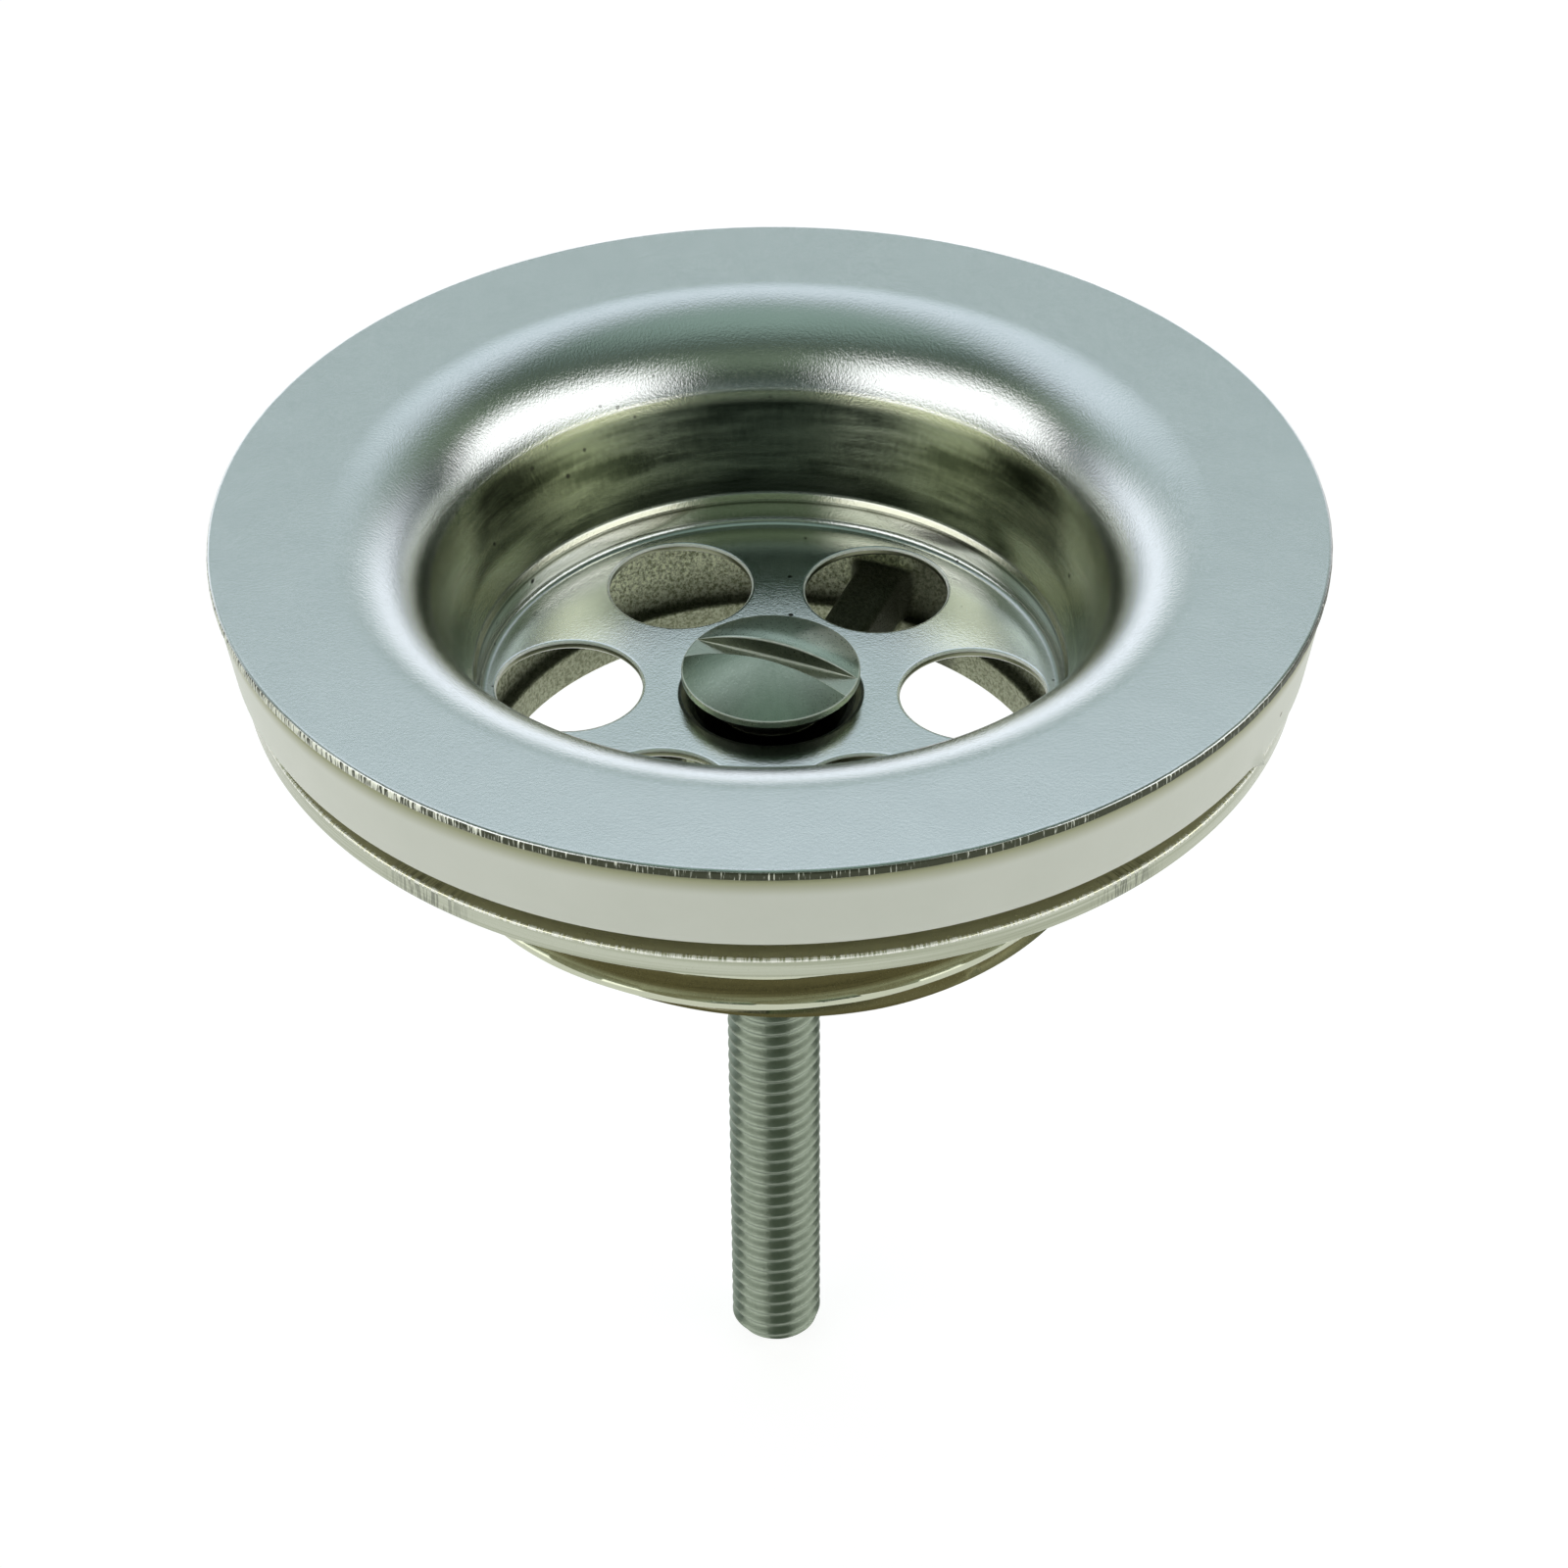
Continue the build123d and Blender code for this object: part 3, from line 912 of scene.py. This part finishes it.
    coarse = wires.total(0.5, wires.times(rolled, 0.5))
    skin = wires.bump(wires.times(grain, coarse), 0.24, 0.1)
    wires.feed(sockets["Normal"], wires.bump(wires.times(fine, seat), 0.05, 0.3, Normal=skin))
    return material


def ivory_seal():
    """Smooth ivory moulding with painted shade just under the flange, faint clouds and a few specks."""
    material, wires, place, sockets = new_material("ivory_seal")
    clouds = wires.noise(place["Place"], 0.25, 3.0)
    # Painted shade: a dark olive strip just under the flange.
    under_flange_shade = wires.times(wires.between(place["Height"], -1.4, -0.1), 0.85)
    dirt = spots(wires, place, 0.6, 0.08, 0.1)
    wires.feed(sockets["Base Color"], wires.layers(
        wires.tint(clouds, (0.67, 0.685, 0.61), (0.61, 0.63, 0.55)),
        (under_flange_shade, (0.30, 0.305, 0.15)),
        (dirt, (0.25, 0.22, 0.16)),
    ))
    sockets["Roughness"].default_value = 0.45
    wires.feed(sockets["Normal"], wires.bump(wires.noise(place["Place"], 2.5, 3.0), 0.05, 0.3))
    return material


def plated_casting():
    """Nickel plate outside, with turned lines, dull threads and chatter on the ring's rim.

    The cast inside has sand grain. It is darker below; painted shadow darkens the arms, and a painted shadow
    falls to one side of an arm. Outside, a painted highlight runs along the ring's top, and its edge carries
    painted glints on rough spots.
    """
    material, wires, place, sockets = new_material("plated_casting")
    radius, height = place["Radius"], place["Height"]
    turn = turn_of(wires, place)
    teeth = round_marks(wires, place, 210.0, 0.5)
    sand = wires.noise(place["Place"], 4.2, 4.0, 0.75)
    lines = streaks(wires, place, 0.05, 5.0, radius)

    funnel = wires.times(wires.between(radius, 21.1, 20.8), wires.between(height, -12.0, -11.7))
    inside = wires.sums("MAXIMUM", funnel, wires.between(radius, 19.3, 19.0))
    low = wires.times(wires.between(height, -17.6, -18.3), 0.55)
    # Painted shadow: the arms are nearly black.
    arms = wires.times(wires.zone(radius, 5.7, 18.1, 0.25), wires.between(height, -18.4, -18.1), 0.9)
    # Painted shadow to one side of an arm.
    shade = wires.times(wires.zone(turn, 0.84, 1.06, 0.05), 0.75)
    cast = wires.layers(
        wires.tint(wires.between(sand, 0.36, 0.62), (0.26, 0.285, 0.165), (0.90, 0.94, 0.70)),
        (low, (0.13, 0.14, 0.08)),
        (arms, (0.015, 0.017, 0.01)),
        (shade, (0.05, 0.055, 0.03)),
    )

    hub = wires.between(radius, 29.0, 23.5)
    # Painted highlight: a light line along the ring's top.
    ring_top_highlight = wires.between(height, -6.80, -6.72)
    crest = wires.times(wires.between(radius, 20.3, 20.9), wires.between(radius, 21.3, 21.1))
    struck = wires.total(wires.zone(turn, -0.95, -0.84, 0.05), wires.zone(turn, -2.30, -2.16, 0.06))
    rim = wires.between(radius, 30.0, 30.6)
    chatter = wires.times(rim, struck, wires.between(teeth, 0.44, 0.56), 0.55)
    plate = wires.layers(
        wires.tint(wires.between(lines, 0.3, 0.7), (0.34, 0.36, 0.27), (0.46, 0.48, 0.39)),
        (hub, (0.29, 0.275, 0.175)),
        (ring_top_highlight, (0.80, 0.77, 0.55)),
        (crest, (0.50, 0.52, 0.40)),
        (chatter, (0.04, 0.045, 0.035)),
    )

    # Burrs on the ring's top edge, painted as bright, less metallic glints.
    edge = wires.times(wires.between(radius, 30.75, 30.9), wires.zone(height, -6.88, -6.66, 0.03))
    burr_glint = wires.times(edge, wires.between(teeth, 0.40, 0.58))
    wires.feed(sockets["Base Color"], wires.layers(plate, (inside, cast), (burr_glint, (0.92, 0.92, 0.84))))
    wires.feed(sockets["Metallic"], wires.between(burr_glint, 0.0, 1.0, 1.0, 0.3))
    wires.feed(sockets["Roughness"], wires.total(
        0.20,
        wires.times(inside, 0.25),
        wires.between(sand, 0.3, 0.7, -0.05, 0.08),
    ))
    relief = wires.total(wires.times(sand, inside), wires.times(lines, 0.12))
    wires.feed(sockets["Normal"], wires.bump(relief, 0.7, 0.4))
    return material


def screw_steel():
    """Dull steel with its shine drawn out round the axis, as turning leaves it.

    The head has faint brushing out from its middle, a painted highlight on one sector, a painted
    band of light behind the slot and painted highlights on its edges. The cone below it is dark
    with painted shade.
    """
    material, wires, place, sockets = new_material("screw_steel")
    radius, height = place["Radius"], place["Height"]
    x, y, _ = wires.split(place["Place"])
    turn = wires.sums("ARCTAN2", y, x)
    behind = wires.total(wires.times(y, cos(SLOT_TURN)), wires.times(x, -sin(SLOT_TURN)))
    painted_highlight = wires.mark("painted_highlight")
    shaded = wires.mark("shaded")
    grain = wires.noise(place["Place"], 6.0, 3.0, 0.65)
    clouds = wires.noise(place["Place"], 1.2, 3.0)
    brush = wires.noise(wires.join(wires.times(turn, 9.0), wires.times(radius, 0.8)), 1.0, 3.0, 0.6)

    head = wires.between(height, -11.2, -10.9)
    # Painted shade: the cone under the head is dark.
    cone = wires.times(wires.zone(height, -13.6, -11.0, 0.1), 0.9)
    # Painted highlight: a bright sector on the head, as turned faces show a fan of light.
    sector_highlight = wires.times(wires.zone(turn, 0.12, 0.85, 0.14), wires.between(radius, 1.6, 3.4), 0.85)
    # Painted light: a lighter band on the head behind the slot.
    band = wires.times(wires.zone(behind, 1.0, 1.9, 0.35), 0.7)
    top = wires.layers(
        wires.tint(wires.between(brush, 0.3, 0.7), (0.268, 0.315, 0.256), (0.298, 0.346, 0.283)),
        (sector_highlight, (0.94, 0.92, 0.84)),
        (band, (0.66, 0.74, 0.68)),
    )
    wires.feed(sockets["Base Color"], wires.layers(
        wires.tint(clouds, (0.195, 0.228, 0.178), (0.275, 0.315, 0.255)),
        (head, top),
        (cone, (0.07, 0.07, 0.055)),
        (shaded, (0.17, 0.185, 0.14)),
        # Painted highlights on the slot's lips, its walls' foot and floor and the head's rim.
        (painted_highlight, (0.97, 0.97, 0.92)),
    ))
    wires.feed(sockets["Metallic"], wires.between(painted_highlight, 0.0, 1.0, 1.0, 0.15))
    wires.feed(sockets["Roughness"], wires.total(
        wires.between(grain, 0.25, 0.75, 0.25, 0.36),
        wires.times(painted_highlight, 0.05),
        wires.between(height, -13.4, -14.0, 0.0, 0.08),
    ))
    relief = wires.total(wires.times(grain, 0.5), wires.times(brush, head, 0.15))
    wires.feed(sockets["Normal"], wires.bump(relief, 0.18, 0.12))
    around = wires.add("ShaderNodeTangent", direction_type="RADIAL", axis="Z").outputs[0]
    wires.feed(sockets["Tangent"], around)
    sockets["Anisotropic"].default_value = 0.75
    sockets["Anisotropic Rotation"].default_value = 0.25
    return material


def point_places(piece):
    """Millimetres of each point of a piece: x, y and z."""
    points = np.empty(len(piece.data.vertices) * 3, np.float32)
    piece.data.vertices.foreach_get("co", points)
    return (points.reshape(-1, 3) / MM).T


def mark_points(piece, name, share):
    """Number from 0 to 1 on each point of a piece."""
    marks = piece.data.attributes.new(name, "FLOAT", "POINT")
    marks.data.foreach_set("value", np.asarray(share, np.float32))


def mark_cup(piece):
    """Sheared: where the punch tore the sheet, at holes and rim. Painted highlight: a thin bright ring round
    each hole's top edge.
    """
    x, y, z = point_places(piece)
    step = 2 * pi / HOLE_COUNT
    turn = (np.arctan2(y, x) - HOLE_TURN + step / 2) % step - step / 2
    radius = np.hypot(x, y)
    off = np.hypot(radius * np.cos(turn) - HOLE_CIRCLE_R, radius * np.sin(turn))
    drop = FLOOR_Z - z
    wall = (off < HOLE_R + 0.03) & (drop > 0.16)
    rim = (radius > FLANGE_R - 0.1) & (z < SHEET - 0.12)
    # Painted highlight: a thin ring just round each hole's top edge.
    edge = (off > HOLE_R + 0.002) & (off < HOLE_R + 0.13) & (drop < 0.15) & (drop > -0.5)
    mark_points(piece, "sheared", wall | rim)
    mark_points(piece, "painted_highlight", edge)


def mark_screw(piece):
    """Painted highlight: the slot's lips, the foot of its walls, the head's rim and faintly the slot's
    floor. Shaded: the slot's walls.
    """
    x, y, z = point_places(piece)
    across = np.abs(y * cos(SLOT_TURN) - x * sin(SLOT_TURN))
    radius = np.hypot(x, y)
    head = z > HEAD_EDGE_Z
    at_wall = head & (np.abs(across - SLOT_HALF) < 0.01)
    share = (z - HEAD_RIM_Z) / np.maximum(dome_rise(x, y), 0.01)
    lip = at_wall & (share > 0.9)
    foot = at_wall & (share < 0.1)
    rim = (radius > HEAD_R - 0.08) & (z > HEAD_RIM_Z - 0.05)
    floor = head & (across < SLOT_HALF - 0.02) & (share < 0.1) & ~rim
    # Painted highlights: full on lips and rim, nearly full at the walls' foot, faint on the slot's floor.
    mark_points(piece, "painted_highlight", 1.0 * (lip | rim) + 0.9 * (foot & ~rim) + 0.18 * floor)
    mark_points(piece, "shaded", at_wall & (share > 0.1) & (share < 0.9))


def dress(piece, body, node, material):
    """Gives one piece its finish and body, and hides the CAD part that it stands for."""
    piece.data.materials.append(material)
    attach(piece, body)
    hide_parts(node)


cup = sew("strainer_cup_pressing", cup_sheets())
mark_cup(cup)
dress(cup, "strainer", "strainer_cup", pressed_steel())

seal = sew("sealing_ring_moulding", seal_sheets())
dress(seal, "strainer", "sealing_ring", ivory_seal())

casting = sew("outlet_body_casting", shell_sheets() + boss_sheets() + arm_sheets())
dress(casting, "outlet", "outlet_body", plated_casting())

screw = sew("clamp_screw_turning", screw_sheets())
mark_screw(screw)
dress(screw, "screw", "clamp_screw", screw_steel())


# Studio

WHITE = (1.0, 1.0, 1.0)
SOFT_BOX_LIGHT = (2.0, 2.0, 1.96)


def studio_sky():
    """White ground for the camera; two soft boxes, a pale back wall and a dim room for the metal.

    A soft box is a rectangle on an upright plane: across it a direction's sideways part over
    its forward part lies between two edges, and its rise over its forward part under a third.
    Two bright strips show only to rays that have bounced more than twice, which are mostly those
    from deep in the cup, so they light its floor.
    """
    world = bpy.data.worlds.new("studio")
    bpy.context.scene.world = world
    world.use_nodes = True
    wires = Wiring(world.node_tree)
    ground = next(n for n in world.node_tree.nodes if n.type == "BACKGROUND")
    ray = wires.add("ShaderNodeLightPath").outputs
    x, y, z = wires.split(wires.add("ShaderNodeTexCoord").outputs["Generated"])
    level = wires.sums("ARCSINE", z)
    aside = wires.sums("ARCTAN2", x, wires.times(y, -1.0))

    def soft_box(facing, left, right, top):
        """Mask of a soft box that faces a turn round the object."""
        forward = wires.total(wires.times(x, sin(facing)), wires.times(y, -cos(facing)))
        ahead = wires.sums("MAXIMUM", forward, 0.001)
        sideways = wires.total(wires.times(x, cos(facing)), wires.times(y, sin(facing)))
        return wires.times(
            wires.zone(wires.sums("DIVIDE", sideways, ahead), left, right, 0.08),
            wires.between(wires.sums("DIVIDE", z, ahead), top + 0.07, top - 0.07),
            wires.between(level, -0.12, 0.0),
            wires.between(forward, 0.0, 0.1),
        )

    room = wires.layers(
        (0.055, 0.075, 0.057),
        (wires.zone(level, 0.5, 0.8, 0.15), (0.21, 0.28, 0.19)),
        (wires.between(level, 0.85, 1.45), (0.33, 0.46, 0.40)),
    )
    wall = wires.layers(
        (1.35, 1.42, 1.50),
        (wires.between(level, 0.31, 0.47), (0.33, 0.44, 0.40)),
        (wires.between(level, 0.55, 0.80), (1.03, 1.15, 1.23)),
    )
    back = wires.total(wires.between(aside, 2.05, 2.9), wires.between(aside, -1.75, -2.45))
    back = wires.times(back, wires.between(level, 1.4, 0.85))
    below = wires.between(level, 0.0, -0.1)
    strip = wires.times(
        wires.zone(wires.sums("ABSOLUTE", aside), 1.5, 2.27, 0.12),
        wires.zone(level, 0.90, 1.17, 0.07),
        wires.sums("GREATER_THAN", ray["Ray Depth"], 2.5),
    )
    wires.feed(ground.inputs["Color"], wires.layers(
        room,
        (back, wall),
        (soft_box(radians(-55), -0.9, 0.56, 0.82), SOFT_BOX_LIGHT),
        (soft_box(radians(70), -0.72, 0.75, 0.74), SOFT_BOX_LIGHT),
        (below, WHITE),
        (strip, (4.0, 4.0, 3.7)),
        (ray["Is Camera Ray"], WHITE),
    ))


def studio_floor():
    """Plain pale floor just below the screw's tip, which the camera and the metal see nearly white."""
    half = 3.0
    z = (TIP_Z - 0.3) * MM
    corners = [(-half, -half, z), (half, -half, z), (half, half, z), (-half, half, z)]
    mesh = bpy.data.meshes.new("studio_floor")
    mesh.from_pydata(corners, [], [(0, 1, 2, 3)])
    floor = bpy.data.objects.new("studio_floor", mesh)
    bpy.context.scene.collection.objects.link(floor)
    material = bpy.data.materials.new("studio_floor")
    material.use_nodes = True
    material.node_tree.nodes.clear()
    wires = Wiring(material.node_tree)
    out = wires.add("ShaderNodeOutputMaterial")
    matt = wires.add("ShaderNodeBsdfDiffuse", {"Color": (0.30, 0.30, 0.30, 1)})
    ray = wires.add("ShaderNodeLightPath").outputs
    seen = wires.sums("MAXIMUM", ray["Is Camera Ray"], ray["Is Glossy Ray"])
    seen = wires.sums("MAXIMUM", seen, ray["Is Transmission Ray"])
    level = wires.between(seen, 0.0, 1.0, 0.4, 0.85)
    glow = wires.add("ShaderNodeEmission", {"Color": opaque(WHITE), "Strength": level})
    both = wires.add("ShaderNodeAddShader", {0: matt.outputs[0], 1: glow.outputs[0]})
    wires.feed(out.inputs["Surface"], both.outputs[0])
    mesh.materials.append(material)


def photo_camera():
    """Camera at the photograph's place: aim, lens and a slight roll about its axis."""
    lens = bpy.data.cameras.new("photo_camera")
    lens.lens = 95.955
    lens.sensor_width = 36.0
    lens.clip_start = 0.005
    lens.clip_end = 20.0
    camera = bpy.data.objects.new("photo_camera", lens)
    bpy.context.scene.collection.objects.link(camera)
    place = Vector((0.0, -199.50, 138.95)) * MM
    aim = Vector((0.7435, 0.0, -19.346)) * MM
    straight = (aim - place).to_track_quat("-Z", "Y").to_matrix()
    tilt = Matrix.Rotation(radians(-0.376), 3, "Z")
    camera.matrix_world = Matrix.Translation(place) @ (straight @ tilt).to_4x4()
    bpy.context.scene.camera = camera


studio_sky()
studio_floor()
photo_camera()
bpy.context.scene.view_settings.view_transform = "Standard"
